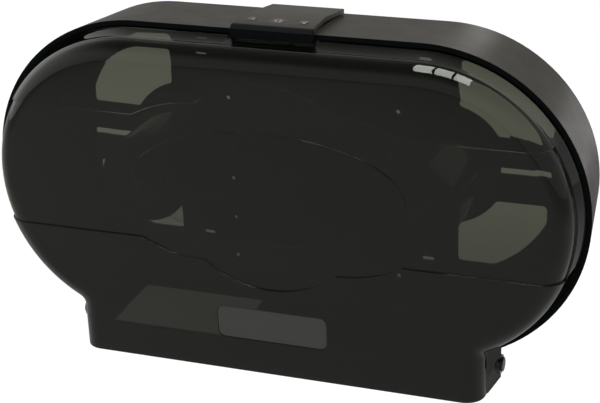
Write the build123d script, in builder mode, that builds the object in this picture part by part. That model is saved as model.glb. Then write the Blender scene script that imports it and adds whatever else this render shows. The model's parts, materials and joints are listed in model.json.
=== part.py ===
from build123d import *

import os

# Twin jumbo toilet roll dispenser for a wall: rear casing, clear cover, lock, hinges, hubs, shutter.
# Millimetres. +Z is up and +X is to the right of someone facing the dispenser. The wall is the plane Y = 0
# and the room is towards -Y. The origin is on the wall, midway between the casing's two round ends and a
# little below their middle line.
# A "depth" is a distance from the wall.

# ---------------------------------------------------------------- casing outline
OVERALL_WIDTH = 508.0          # across the two round ends, at the casing's front
END_RADIUS = 134.8             # radius of each round end, at the casing's front
END_RISE = 3.5                 # middle line of the round ends above the origin
WALL_TAPER = 9.7               # how much smaller the outline is at the wall, all round
CASING_DEPTH = 86.2            # from the wall to the casing's front ring
CASING_WALL = 3.0              # side wall and back wall
FRONT_RING_WIDTH = 7.0         # flat ring round the casing's open front
FRONT_RING_DEPTH = 3.0

# ---------------------------------------------------------------- casing skirt, paper exit and shutter guides
SKIRT_REACH = 66.3             # from the middle of each round end out to the side of the cover's skirt
SKIRT_SIDE_STEP = 11.4         # each side of the casing's skirt stands this far inside the cover's
SKIRT_DROP = 11.2              # underside of the casing's skirt, below the round ends
SKIRT_WALL = 3.0
EXIT_END_MARGIN = 10.1         # from the side of the casing's skirt to the end of the paper exit
EXIT_BACK = 10.7               # depth of the exit's back edge
EXIT_FRONT_MARGIN = 2.2        # from the casing's front to the exit's front edge
APRON_THICKNESS = 2.0          # plate that hangs from the front edge of the skirt's floor
APRON_DROP = 5.0               # below the skirt's floor
APRON_END_MARGIN = 1.0         # from the side of the casing's skirt to the apron's end
BACK_GUIDE_END = 3.0           # the back guide runs past the exit by this much
FRONT_GUIDE_HALF = 50.0        # the front guide holds only the middle of the shutter
GUIDE_LIP = 4.0                # how far each guide hangs over the shutter
GUIDE_LIP_THICKNESS = 2.0

# ---------------------------------------------------------------- cover
SEAM_GAP = 0.5                 # between the casing's front ring and the cover
COVER_INSET = 3.8              # the cover's base stands this far inside the casing's outline
COVER_WALL = 3.2
BEVEL_DEPTH = 13.0             # bevelled rim, from the seam forwards
BEVEL_INSET = 4.7              # how far the rim leans in over that depth
COVER_FRONT = 118.0            # depth of the front face
DOME_RADIUS = 16.5             # rounding between the rim and the front face
BAND_RECESS = 1.5              # the wave band lies this much behind the panels above and below it
OVAL_HEIGHT = 1.1              # the oval stands this proud of the band
OVAL_HALF_WIDTH = 115.4
OVAL_HALF_HEIGHT = 48.0
BAND_MIDDLE = 16.2             # height of the middle of the band and of the oval
BAND_HALF_HEIGHT = 54.1        # at the ends
SHOULDER_X = 112.0             # where the band starts to widen
SHOULDER_RISE = 14.4           # how much it has widened at the foot of the arch
ARCH_HALF_WIDTH = 57.0
ARCH_RISE = 20.3               # height of the arch above its feet

# ---------------------------------------------------------------- cover skirt and hinge
COVER_SKIRT_DROP = 8.5         # the cover's skirt ends this much below the casing's
SKIRT_LEAN = 4.0               # the skirt's sides lean in this much more than the rest of the rim
SKIRT_CORNER = 12.0            # corner radius of the skirt seen from the front
SKIRT_BLEND = 6.0              # hollow rounding where the skirt meets the round ends
SIDE_CUT_DEPTH = 99.0          # the skirt's floor starts here, and its sides rise from here to the ears
RETURN_LIP_DEPTH = 103.0       # back of the lip that stands up inside the skirt, along its floor and sides
RETURN_LIP = 2.0
RETURN_LIP_TOP = -137.5        # along the floor
RETURN_LIP_INNER = 164.0       # the lip's sides reach in this near to the middle
RETURN_LIP_SIDE_TOP = -106.0
HINGE_FRONT_MARGIN = 2.2       # from the casing's front back to the hinge axis
HINGE_RISE = 12.5              # hinge axis above the underside of the casing's skirt
EAR_RADIUS = 8.0
EAR_BOSS_RADIUS = 5.2
EAR_SIDE_GAP = 0.3             # between the ear's boss and the casing's skirt
LUG_RADIUS = 6.0               # casing lug round the hinge pin
PIN_RADIUS = 3.0
PIN_RUNNING_CLEARANCE = 0.05
PIN_HEAD_RADIUS = 6.0
PIN_HEAD = 1.6
PIN_HEAD_GAP = 0.2
CLIP_RADIUS = 5.5
CLIP_THICKNESS = 1.2
PIN_TIP = 1.0                  # pin past its clip

# ---------------------------------------------------------------- label
LABEL_WIDTH = 95.0
LABEL_HEIGHT = 28.0
LABEL_RISE = 44.5              # middle of the label above the lower edge of the cover's skirt
LABEL_CORNER = 6.0
LABEL_THICKNESS = 0.8
LABEL_POCKET = 1.2             # depth of the pocket that the label sits in
LABEL_MARGIN = 0.3

# ---------------------------------------------------------------- lock bracket
BRACKET_LIP_GAP = 0.3          # between the casing's front and the lip
BRACKET_LIP = 4.5              # thickness of the lip
BRACKET_LIP_HANG = 8.7         # the lip hangs this much below the casing's top
BRACKET_BEND_MARGIN = 3.0      # from the lip's front back to where it turns into the plate
BRACKET_CREST_MARGIN = 11.0    # from the lip's front back to the highest line of the plate
BRACKET_RIDGE_MARGIN = 40.0    # from the lip's front back to where the plate bends down
BRACKET_BACK = 3.0             # depth of the plate's back edge
BRACKET_HALF_FRONT = 34.0
BRACKET_HALF_RIDGE = 31.5
BRACKET_HALF_BACK = 31.0
BRACKET_CREST_RISE = 5.4       # heights of the plate above the casing's top
BRACKET_RIDGE_RISE = 6.9
BRACKET_BACK_RISE = 4.5
BRACKET_BEND_DROP = 1.0        # below the crest
BRACKET_CHIN_DROP = 3.2        # top of the lip's front face, below the crest
BRACKET_PLATE = 3.6
BRACKET_WEB_X = 27.0           # middle of each upright web under the plate
BRACKET_WEB = 3.0
BRACKET_WEB_MARGIN = 2.0       # the webs and bosses stand this far inside the pad's ends
PAD_HALF_WIDTH = 33.0
PAD_HEIGHT = 1.0               # raised pad on the casing's top that the bracket stands on
PAD_BACK = 12.0
PAD_FRONT_MARGIN = 6.2         # from the casing's front back to the pad
SEAT_DROP = 1.0                # flat seats for the lock's flange and the rivet heads, below the crest
RIVET_X = 21.6
RIVET_RADIUS = 1.8
RIVET_HEAD_RADIUS = 3.4
RIVET_HEAD = 1.6
RIVET_BOSS_RADIUS = 4.6
RIVET_TAIL_RADIUS = 3.0
RIVET_TAIL = 1.4

# ---------------------------------------------------------------- notch and keeper in the cover
NOTCH_SIDE_GAP = 1.5           # between the lip and the notch
NOTCH_FRONT_GAP = 1.5
NOTCH_FLOOR_GAP = 0.4          # under the lip
NOTCH_WALL = 3.0
KEEPER_X = 16.0                # middle of the keeper's arm
KEEPER_WIDTH = 3.0
KEEPER_ABOVE_CAM = 0.9
KEEPER_BELOW_CAM = 4.0
HOOK_LENGTH = 5.5              # how far the keeper's hook turns in
HOOK_THICKNESS = 3.0
HOOK_PLAY = 0.6                # between the turned cam and the hook

# ---------------------------------------------------------------- lock
LOCK_MARGIN = 13.2             # from the casing's front back to the lock's upright axis
LOCK_BARREL_RADIUS = 6.0
LOCK_HOLE_CLEARANCE = 0.3
LOCK_FLANGE_RADIUS = 6.7
LOCK_FLANGE = 0.9
LOCK_BARREL_TIP = 0.3          # barrel past its nut
LOCK_NUT_BOSS_MARGIN = 3.2     # round the nut, on the flat boss inside the casing
LOCK_NUT_ACROSS = 16.0
LOCK_NUT_THICKNESS = 2.6
LOCK_PLUG_RADIUS = 3.4
LOCK_RUNNING_CLEARANCE = 0.05
KEY_SLOT_LENGTH = 4.6
KEY_SLOT_WIDTH = 1.2
KEY_SLOT_DEPTH = 6.0
CAM_DROP = 2.8                 # from the barrel's foot to the cam
CAM_THICKNESS = 2.6
CAM_REACH = 12.5
CAM_HALF_WIDTH = 4.0
CAM_HUB_RADIUS = 5.5
CAM_SCREW_RADIUS = 1.6
CAM_SCREW_HEAD_RADIUS = 3.5
CAM_SCREW_HEAD = 2.0
CAM_SCREW_LENGTH = 7.0

# ---------------------------------------------------------------- roll hubs and spindles
HUB_HEIGHT = 5.0
HUB_INSET = 3.5                # the hubs are this much nearer the middle than the centres of the round ends
SPINDLE_RADIUS = 16.0
SPINDLE_BORE = 12.0
SPINDLE_FLANGE_RADIUS = 30.0
SPINDLE_FLANGE = 3.0
SPINDLE_FRONT = 98.0
SPINDLE_END_WALL = 6.0
SPINDLE_SCREW_DISTANCE = 23.5
SPINDLE_SCREWS = 3
SPINDLE_SCREW_RADIUS = 2.0
SPINDLE_SCREW_HEAD_RADIUS = 3.6
SPINDLE_SCREW_HEAD = 1.6
HUB_RUNNING_CLEARANCE = 0.08
HUB_WALL = 2.6
HUB_RADIUS = 37.5              # a roll's core slides over the drum
HUB_EDGE_ROUND = 2.4           # lead-in round the drum's front
HUB_DISC_RADIUS = 48.0
HUB_DISC = 2.4
HUB_BACK = 7.0                 # depth of the back of the hub's disc
HUB_END_GAP = 0.4              # between the hub and its cap
CAP_RADIUS = 20.0
CAP_THICKNESS = 2.6
CAP_EDGE_ROUND = 1.2
CAP_SCREW_RADIUS = 2.0
CAP_SCREW_HEAD_RADIUS = 4.0
CAP_SCREW_HEAD = 2.2

# ---------------------------------------------------------------- back wall openings and mounting holes
WINDOW_INNER = 53.0            # radii of the windows round each hub
WINDOW_OUTER = 98.0
WINDOW_SIDE = 12.0             # distance of each window from the hub's upright middle line
WINDOW_LEVEL = 28.0            # distance of each window from the hub's level middle line
WINDOW_REACH = 88.0            # the windows end at this distance from both middle lines
WINDOW_CORNER = 4.0
SIDE_SLOT_START = 48.0
SIDE_SLOT_END = 91.0
SIDE_SLOT_HEIGHT = 6.0
MOUNT_SPACING = 152.4
MOUNT_PITCH = 38.1
MOUNT_ROWS = 5
MOUNT_MIDDLE = -27.5
MOUNT_HOLE_RADIUS = 2.1
UPPER_TIE_SLOT_X = 98.5
UPPER_TIE_SLOT_Z = 90.0
LOWER_TIE_SLOT_X = 102.5
LOWER_TIE_SLOT_Z = -83.5
TIE_SLOT_LENGTH = 11.0
TIE_SLOT_WIDTH = 4.0

# ---------------------------------------------------------------- shutter and tear bars
SHUTTER_THICKNESS = 2.4
SHUTTER_CLEARANCE = 0.3
SHUTTER_OVERLAP = 2.0          # past the exit's end
SHUTTER_PAST_MIDDLE = 46.0
PULL_DROP = 6.0                # how far the pull hangs below the shutter
PULL_THICKNESS = 3.0
PULL_WIDTH = 24.0
PULL_INSET = 8.0
PULL_CORNER = 3.0
TEAR_BAR_START = 42.0
TEAR_BAR_END_MARGIN = 12.0     # from the exit's end to the bar's end
TEAR_BAR_HEIGHT = 6.5
TEAR_BAR_THICKNESS = 1.4
TOOTH_PITCH = 4.0
TOOTH_HEIGHT = 1.7
TEAR_SCREW_RADIUS = 1.3
TEAR_SCREW_HEAD_RADIUS = 2.4
TEAR_SCREW_HEAD = 1.4
TEAR_SCREW_INSET = 14.0

# ---------------------------------------------------------------- worked out from the sizes above
END_CENTRE = OVERALL_WIDTH / 2 - END_RADIUS
BACK_RADIUS = END_RADIUS - WALL_TAPER
TAPER = WALL_TAPER / CASING_DEPTH
FRONT_TOP = END_RISE + END_RADIUS
BACK_TOP = END_RISE + BACK_RADIUS
COVER_BACK = CASING_DEPTH + SEAM_GAP
COVER_SKIRT_HALF = END_CENTRE + SKIRT_REACH
SKIRT_HALF_WIDTH = COVER_SKIRT_HALF - SKIRT_SIDE_STEP
SKIRT_FLOOR = END_RISE - END_RADIUS - SKIRT_DROP
COVER_SKIRT_BOTTOM = SKIRT_FLOOR - COVER_SKIRT_DROP
EXIT_HALF_WIDTH = SKIRT_HALF_WIDTH - EXIT_END_MARGIN
EXIT_FRONT = CASING_DEPTH - EXIT_FRONT_MARGIN
HINGE_DEPTH = CASING_DEPTH - HINGE_FRONT_MARGIN
HINGE_HEIGHT = SKIRT_FLOOR + HINGE_RISE
LABEL_MIDDLE = COVER_SKIRT_BOTTOM + LABEL_RISE
CREASE_DEPTH = COVER_BACK + BEVEL_DEPTH
COVER_INSIDE = COVER_SKIRT_HALF - COVER_WALL
HUB_X = END_CENTRE - HUB_INSET
BAND_TOP = BAND_MIDDLE + BAND_HALF_HEIGHT
FLOOR_TOP = SKIRT_FLOOR + SKIRT_WALL
APRON_HALF = SKIRT_HALF_WIDTH - APRON_END_MARGIN
APRON_FRONT = CASING_DEPTH + APRON_THICKNESS
APRON_FOOT = SKIRT_FLOOR - APRON_DROP
SHUTTER_BOTTOM = FLOOR_TOP + SHUTTER_CLEARANCE
SHUTTER_TOP = SHUTTER_BOTTOM + SHUTTER_THICKNESS
LIP_FOOT = SHUTTER_TOP + SHUTTER_CLEARANCE
LIP_TOP = LIP_FOOT + GUIDE_LIP_THICKNESS
TEAR_BAR_END = EXIT_HALF_WIDTH - TEAR_BAR_END_MARGIN
TEAR_SCREW_HEIGHT = APRON_FOOT + TEAR_BAR_HEIGHT / 2
LOCK_DEPTH = CASING_DEPTH - LOCK_MARGIN
LOCK_NUT_BOSS_RADIUS = LOCK_NUT_ACROSS / 2 + LOCK_NUT_BOSS_MARGIN
LOCK_NUT_SEAT = BACK_TOP + TAPER * (LOCK_DEPTH - LOCK_NUT_BOSS_RADIUS) - CASING_WALL
LOCK_BARREL_FOOT = LOCK_NUT_SEAT - LOCK_NUT_THICKNESS - LOCK_BARREL_TIP
CAM_TOP = LOCK_BARREL_FOOT - CAM_DROP
PAD_FRONT = CASING_DEPTH - PAD_FRONT_MARGIN
BRACKET_LIP_BACK = CASING_DEPTH + BRACKET_LIP_GAP
BRACKET_FRONT = BRACKET_LIP_BACK + BRACKET_LIP
BRACKET_BEND = BRACKET_FRONT - BRACKET_BEND_MARGIN
BRACKET_CREST = BRACKET_FRONT - BRACKET_CREST_MARGIN
BRACKET_RIDGE = BRACKET_FRONT - BRACKET_RIDGE_MARGIN
BRACKET_TOP_CREST = BACK_TOP + TAPER * BRACKET_CREST + BRACKET_CREST_RISE
BRACKET_TOP_RIDGE = BACK_TOP + TAPER * BRACKET_RIDGE + BRACKET_RIDGE_RISE
BRACKET_TOP_BACK = BACK_TOP + TAPER * BRACKET_BACK + BRACKET_BACK_RISE
BRACKET_TOP_BEND = BRACKET_TOP_CREST - BRACKET_BEND_DROP
BRACKET_TOP_LIP = BRACKET_TOP_CREST - BRACKET_CHIN_DROP
BRACKET_LIP_FOOT = FRONT_TOP - BRACKET_LIP_HANG
SEAT_HEIGHT = BRACKET_TOP_CREST - SEAT_DROP
NOTCH_FLOOR = BRACKET_LIP_FOOT - NOTCH_FLOOR_GAP
KEEPER_TOP = CAM_TOP + KEEPER_ABOVE_CAM
KEEPER_BOTTOM = CAM_TOP - CAM_THICKNESS - KEEPER_BELOW_CAM
HUB_FRONT = SPINDLE_FRONT - HUB_END_GAP
CAP_FRONT = SPINDLE_FRONT + CAP_THICKNESS
KEEPER_BACK = LOCK_DEPTH - CAM_HALF_WIDTH - HOOK_PLAY - HOOK_THICKNESS
SPARE = 40.0                   # cutting shapes run past the piece by this much
WALL = Plane.XZ                # its normal points away from the wall, so its offset is a depth


def casing_top(depth):
    """Height of the casing's outer top at a depth."""
    return BACK_TOP + TAPER * depth


def block(x0, x1, depth0, depth1, z0, z1):
    """A box from its limits."""
    with BuildPart() as box:
        with BuildSketch(WALL.offset(depth0)):
            with Locations(((x0 + x1) / 2, (z0 + z1) / 2)):
                Rectangle(x1 - x0, z1 - z0)
        extrude(amount=depth1 - depth0)
    return box.part


def upright_rod(x, depth, radius, z0, z1):
    """A rod about an upright axis."""
    with BuildPart() as rod:
        with BuildSketch(Plane.XY.offset(z0)):
            with Locations((x, -depth)):
                Circle(radius)
        extrude(amount=z1 - z0)
    return rod.part


# ---------------------------------------------------------------- rear casing
def casing_body(inset, depth0, depth1):
    """The tapering round-ended body between two depths, shrunk by an inset."""
    with BuildPart() as body:
        for depth in (depth0, depth1):
            with BuildSketch(WALL.offset(depth)):
                with Locations((0, END_RISE)):
                    SlotCenterToCenter(2 * END_CENTRE, 2 * (casing_top(depth) - END_RISE - inset))
        loft(ruled=True)
    return body.part


def back_openings():
    """Everything cut through the back wall, as faces on the wall plane."""
    with BuildSketch(WALL) as one_side:
        with Locations((HUB_X, HUB_HEIGHT)):
            Circle(WINDOW_OUTER)
            Circle(WINDOW_INNER, mode=Mode.SUBTRACT)
            Rectangle(2 * WINDOW_OUTER, 2 * WINDOW_LEVEL, mode=Mode.SUBTRACT)
            Rectangle(2 * WINDOW_REACH, 2 * WINDOW_REACH, mode=Mode.INTERSECT)
        with Locations((HUB_X + WINDOW_SIDE - WINDOW_OUTER, HUB_HEIGHT)):
            Rectangle(2 * WINDOW_OUTER, 2 * WINDOW_OUTER, mode=Mode.SUBTRACT)
        fillet(one_side.vertices(), radius=WINDOW_CORNER)
        with Locations((HUB_X + (SIDE_SLOT_START + SIDE_SLOT_END) / 2, HUB_HEIGHT)):
            Rectangle(SIDE_SLOT_END - SIDE_SLOT_START, SIDE_SLOT_HEIGHT)
        with Locations((UPPER_TIE_SLOT_X, UPPER_TIE_SLOT_Z), (LOWER_TIE_SLOT_X, LOWER_TIE_SLOT_Z)):
            SlotOverall(TIE_SLOT_LENGTH, TIE_SLOT_WIDTH)
        mirror(about=Plane.YZ)
        with Locations((0, MOUNT_MIDDLE)):
            with GridLocations(MOUNT_SPACING, MOUNT_PITCH, 2, MOUNT_ROWS):
                Circle(MOUNT_HOLE_RADIUS)
        for side in (-1, 1):
            with Locations((side * HUB_X, HUB_HEIGHT)):
                with PolarLocations(SPINDLE_SCREW_DISTANCE, SPINDLE_SCREWS, start_angle=90):
                    Circle(SPINDLE_SCREW_RADIUS)
    return one_side.sketch


def make_rear_casing():
    inside = SKIRT_HALF_WIDTH - SKIRT_WALL
    shell = casing_body(0, 0, CASING_DEPTH)
    pad = casing_body(-PAD_HEIGHT, PAD_BACK, PAD_FRONT)
    pad_limits = block(-PAD_HALF_WIDTH, PAD_HALF_WIDTH, 0, CASING_DEPTH, HUB_HEIGHT, FRONT_TOP + SPARE)
    nut_boss = upright_rod(0, LOCK_DEPTH, LOCK_NUT_BOSS_RADIUS, LOCK_NUT_SEAT, casing_top(LOCK_DEPTH))
    hollow = casing_body(CASING_WALL, CASING_WALL, CASING_DEPTH - FRONT_RING_DEPTH)
    skirt = block(-SKIRT_HALF_WIDTH, SKIRT_HALF_WIDTH, 0, CASING_DEPTH, SKIRT_FLOOR, HUB_HEIGHT)
    skirt_hollow = block(-inside, inside, CASING_WALL, CASING_DEPTH, FLOOR_TOP, HUB_HEIGHT)
    paper_exit = block(-EXIT_HALF_WIDTH, EXIT_HALF_WIDTH, EXIT_BACK, EXIT_FRONT, SKIRT_FLOOR, FLOOR_TOP)
    apron = block(-APRON_HALF, APRON_HALF, CASING_DEPTH, APRON_FRONT, APRON_FOOT, FLOOR_TOP)
    guide_web = block(-FRONT_GUIDE_HALF, FRONT_GUIDE_HALF, CASING_DEPTH, APRON_FRONT, FLOOR_TOP, LIP_TOP)
    front_guide = block(
        -FRONT_GUIDE_HALF, FRONT_GUIDE_HALF, CASING_DEPTH - GUIDE_LIP, CASING_DEPTH, LIP_FOOT, LIP_TOP
    )
    back_half = EXIT_HALF_WIDTH + BACK_GUIDE_END
    back_guide = block(-back_half, back_half, CASING_WALL, CASING_WALL + GUIDE_LIP, LIP_FOOT, LIP_TOP)
    hole_radius = LOCK_BARREL_RADIUS + LOCK_HOLE_CLEARANCE
    lock_hole = upright_rod(0, LOCK_DEPTH, hole_radius, HUB_HEIGHT, FRONT_TOP + SPARE)
    openings = back_openings()
    with BuildPart() as casing:
        add(pad)
        add(pad_limits, mode=Mode.INTERSECT)
        add(shell)
        add(skirt)
        add(hollow, mode=Mode.SUBTRACT)
        add(skirt_hollow, mode=Mode.SUBTRACT)
        with BuildSketch(WALL.offset(CASING_DEPTH - FRONT_RING_DEPTH)):
            with Locations((0, END_RISE)):
                SlotCenterToCenter(2 * END_CENTRE, 2 * (END_RADIUS - FRONT_RING_WIDTH))
        extrude(amount=FRONT_RING_DEPTH, mode=Mode.SUBTRACT)
        add(paper_exit, mode=Mode.SUBTRACT)
        add([apron, guide_web, front_guide, back_guide])
        for side in (-1, 1):
            with BuildSketch(Plane.YZ.offset(side * SKIRT_HALF_WIDTH)):
                with Locations((-HINGE_DEPTH, HINGE_HEIGHT)):
                    Circle(LUG_RADIUS)
            extrude(amount=-side * SKIRT_WALL)
        add(nut_boss)
        add(lock_hole, mode=Mode.SUBTRACT)
        with BuildSketch(Plane.XY.offset(HUB_HEIGHT)):
            with Locations((-RIVET_X, -LOCK_DEPTH), (RIVET_X, -LOCK_DEPTH)):
                Circle(RIVET_RADIUS)
        extrude(amount=FRONT_TOP, mode=Mode.SUBTRACT)
        with BuildSketch(Plane.YZ.offset(-SKIRT_HALF_WIDTH)):
            with Locations((-HINGE_DEPTH, HINGE_HEIGHT)):
                Circle(PIN_RADIUS)
        extrude(amount=2 * SKIRT_HALF_WIDTH, mode=Mode.SUBTRACT)
        extrude(openings, amount=CASING_WALL, mode=Mode.SUBTRACT)
    return casing


# ---------------------------------------------------------------- front cover
def cover_outline(depth, inset, lean):
    """The cover's round-ended outline with its skirt, as a face at a depth."""
    skirt_half = COVER_SKIRT_HALF - inset - lean
    foot = COVER_SKIRT_BOTTOM - SPARE
    with BuildSketch(WALL.offset(depth)) as outline:
        with Locations((0, END_RISE)):
            SlotCenterToCenter(2 * END_CENTRE, 2 * (END_RADIUS - COVER_INSET - inset))
        with Locations((0, foot / 2)):
            Rectangle(2 * skirt_half, -foot)
        corners_then_joins = outline.vertices().group_by(Axis.Y)
        fillet(corners_then_joins[1], radius=SKIRT_BLEND)
    return outline.sketch


def cover_body(inset):
    """The cover's outer shape, shrunk by an inset, from the seam to the front face."""
    base = cover_outline(COVER_BACK, inset, 0)
    crease = cover_outline(CREASE_DEPTH, BEVEL_INSET + inset, SKIRT_LEAN)
    with BuildPart() as body:
        add([base, crease])
        loft(ruled=True)
        extrude(crease, amount=COVER_FRONT - inset - CREASE_DEPTH)
        front = body.faces().sort_by(Axis.Y)[0]
        fillet(front.edges(), radius=DOME_RADIUS - inset)
    return body.part


def front_limits(inset):
    """Seen from the front, the skirt ends in a level edge with round corners, shrunk by an inset."""
    foot = COVER_SKIRT_BOTTOM + inset
    with BuildPart() as limits:
        with BuildSketch(WALL.offset(COVER_BACK)) as view:
            with Locations((0, (foot + HUB_HEIGHT) / 2)):
                Rectangle(2 * (COVER_SKIRT_HALF - inset), HUB_HEIGHT - foot)
            fillet(view.vertices().group_by(Axis.Y)[0], radius=SKIRT_CORNER - inset)
            with Locations((0, HUB_HEIGHT)):
                Rectangle(OVERALL_WIDTH, 2 * (HUB_HEIGHT - HINGE_HEIGHT))
        extrude(amount=COVER_FRONT - COVER_BACK)
    return limits.part


def band_prism():
    """The wave band seen from the front, cut right through the dome."""
    foot = BAND_TOP + SHOULDER_RISE
    with BuildPart() as prism:
        with BuildSketch(WALL.offset(CREASE_DEPTH)):
            with BuildLine() as upper:
                Line((-OVERALL_WIDTH / 2, BAND_TOP), (-SHOULDER_X, BAND_TOP))
                TangentArc((-ARCH_HALF_WIDTH, foot), (-SHOULDER_X, BAND_TOP), tangent=(-1, 0))
                ThreePointArc((-ARCH_HALF_WIDTH, foot), (0, foot + ARCH_RISE), (ARCH_HALF_WIDTH, foot))
                TangentArc((ARCH_HALF_WIDTH, foot), (SHOULDER_X, BAND_TOP), tangent=(1, 0))
                Line((SHOULDER_X, BAND_TOP), (OVERALL_WIDTH / 2, BAND_TOP))
                Line((OVERALL_WIDTH / 2, BAND_TOP), (OVERALL_WIDTH / 2, BAND_MIDDLE))
                Line((-OVERALL_WIDTH / 2, BAND_TOP), (-OVERALL_WIDTH / 2, BAND_MIDDLE))
                mirror(about=Plane.XZ.offset(-BAND_MIDDLE))
            make_face()
        extrude(amount=COVER_FRONT - CREASE_DEPTH)
    return prism.part


def label_plate(depth, margin, amount):
    """A rounded plate with the label's outline grown by a margin."""
    with BuildPart() as plate:
        with BuildSketch(WALL.offset(depth)):
            with Locations((0, LABEL_MIDDLE)):
                RectangleRounded(LABEL_WIDTH + 2 * margin, LABEL_HEIGHT + 2 * margin, LABEL_CORNER + margin)
        extrude(amount=amount)
    return plate.part


def side_cut():
    """What is cut away under the skirt's side walls, from its floor back to the ears."""
    ear_foot = HINGE_HEIGHT - EAR_RADIUS
    with BuildPart() as cut:
        with BuildSketch(Plane.YZ):
            with BuildLine():
                Polyline(
                    (-SIDE_CUT_DEPTH, COVER_SKIRT_BOTTOM),
                    (-HINGE_DEPTH, ear_foot),
                    (-HINGE_DEPTH, COVER_SKIRT_BOTTOM - SPARE),
                    (-SIDE_CUT_DEPTH, COVER_SKIRT_BOTTOM - SPARE),
                    close=True,
                )
            make_face()
        extrude(amount=OVERALL_WIDTH / 2, both=True)
    return cut.part


def make_front_cover():
    outer = cover_body(0)
    inside = cover_body(COVER_WALL)
    limits = front_limits(0)
    inside_limits = front_limits(COVER_WALL)
    band = band_prism()
    band_body = cover_body(BAND_RECESS)
    notch_half = BRACKET_HALF_FRONT + NOTCH_SIDE_GAP
    notch_front = BRACKET_FRONT + NOTCH_FRONT_GAP
    notch_top = FRONT_TOP + SPARE
    notch_box = block(
        -notch_half - NOTCH_WALL, notch_half + NOTCH_WALL, COVER_BACK, notch_front + NOTCH_WALL,
        NOTCH_FLOOR - NOTCH_WALL, notch_top,
    )
    notch = block(-notch_half, notch_half, COVER_BACK, notch_front, NOTCH_FLOOR, notch_top)
    arm_inner = KEEPER_X - KEEPER_WIDTH / 2
    arm_outer = KEEPER_X + KEEPER_WIDTH / 2
    arm = block(arm_inner, arm_outer, KEEPER_BACK, notch_front + NOTCH_WALL, KEEPER_BOTTOM, KEEPER_TOP)
    hook_inner = arm_inner - HOOK_LENGTH
    hook_front = KEEPER_BACK + HOOK_THICKNESS
    hook = block(hook_inner, arm_outer, KEEPER_BACK, hook_front, KEEPER_BOTTOM, KEEPER_TOP)
    pocket = label_plate(COVER_FRONT - LABEL_POCKET, LABEL_MARGIN, LABEL_POCKET)
    side_walls = side_cut()
    lip_front = RETURN_LIP_DEPTH + RETURN_LIP
    lip_plate = block(0, COVER_SKIRT_HALF, RETURN_LIP_DEPTH, lip_front, COVER_SKIRT_BOTTOM, RETURN_LIP_TOP)
    lip_side = block(
        RETURN_LIP_INNER, COVER_SKIRT_HALF, RETURN_LIP_DEPTH, lip_front, COVER_SKIRT_BOTTOM,
        RETURN_LIP_SIDE_TOP,
    )
    swing_half = SKIRT_HALF_WIDTH + EAR_SIDE_GAP
    swing_top = COVER_SKIRT_BOTTOM + SKIRT_CORNER
    swing_foot = COVER_SKIRT_BOTTOM - SPARE
    swing_room = block(-swing_half, swing_half, COVER_BACK, SIDE_CUT_DEPTH, swing_foot, swing_top)
    with BuildPart() as cavity:
        add(inside)
        add(inside_limits, mode=Mode.INTERSECT)
    with BuildPart() as recess:
        add(band)
        add(band_body, mode=Mode.SUBTRACT)
        with BuildSketch(WALL.offset(COVER_FRONT - BAND_RECESS + OVAL_HEIGHT)):
            with Locations((0, BAND_MIDDLE)):
                Ellipse(OVAL_HALF_WIDTH, OVAL_HALF_HEIGHT)
        extrude(amount=-OVAL_HEIGHT, mode=Mode.SUBTRACT)
    with BuildPart() as notch_walls:
        add(outer)
        add(notch_box, mode=Mode.INTERSECT)
    with BuildPart() as return_lip:
        add([lip_plate, lip_side])
        mirror(about=Plane.YZ)
        add(outer, mode=Mode.INTERSECT)
    with BuildPart() as cover:
        add(outer)
        add(cavity.part, mode=Mode.SUBTRACT)
        add(return_lip.part)
        add(limits, mode=Mode.INTERSECT)
        add([side_walls, swing_room], mode=Mode.SUBTRACT)
        add(recess.part, mode=Mode.SUBTRACT)
        add(notch_walls.part)
        add([arm, hook])
        add(notch, mode=Mode.SUBTRACT)
        add(pocket, mode=Mode.SUBTRACT)
        for side in (-1, 1):
            with BuildSketch(Plane.YZ.offset(side * COVER_SKIRT_HALF)):
                with Locations((-HINGE_DEPTH, HINGE_HEIGHT)):
                    Circle(EAR_RADIUS)
            extrude(amount=-side * COVER_WALL)
            with BuildSketch(Plane.YZ.offset(side * COVER_INSIDE)):
                with Locations((-HINGE_DEPTH, HINGE_HEIGHT)):
                    Circle(EAR_BOSS_RADIUS)
            extrude(amount=-side * (COVER_INSIDE - SKIRT_HALF_WIDTH - EAR_SIDE_GAP))
        with BuildSketch(Plane.YZ.offset(-COVER_SKIRT_HALF)):
            with Locations((-HINGE_DEPTH, HINGE_HEIGHT)):
                Circle(PIN_RADIUS + PIN_RUNNING_CLEARANCE)
        extrude(amount=2 * COVER_SKIRT_HALF, mode=Mode.SUBTRACT)
    return cover


def make_blank_label():
    with BuildPart() as label:
        with BuildSketch(WALL.offset(COVER_FRONT - LABEL_POCKET)):
            with Locations((0, LABEL_MIDDLE)):
                RectangleRounded(LABEL_WIDTH, LABEL_HEIGHT, LABEL_CORNER)
        extrude(amount=LABEL_THICKNESS)
    return label


# ---------------------------------------------------------------- hinge pins
def make_hinge_pin(side):
    head_face = COVER_SKIRT_HALF + PIN_HEAD_GAP
    inner_end = SKIRT_HALF_WIDTH - SKIRT_WALL - CLIP_THICKNESS - PIN_TIP
    with BuildPart() as pin:
        with BuildSketch(Plane.YZ.offset(side * inner_end)):
            with Locations((-HINGE_DEPTH, HINGE_HEIGHT)):
                Circle(PIN_RADIUS)
        extrude(amount=side * (head_face - inner_end))
        with BuildSketch(Plane.YZ.offset(side * head_face)):
            with Locations((-HINGE_DEPTH, HINGE_HEIGHT)):
                Circle(PIN_HEAD_RADIUS)
        extrude(amount=side * PIN_HEAD)
        rim = pin.faces().sort_by(Axis.X)[-1 if side > 0 else 0]
        fillet(rim.edges(), radius=PIN_HEAD / 2)
    return pin


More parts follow.
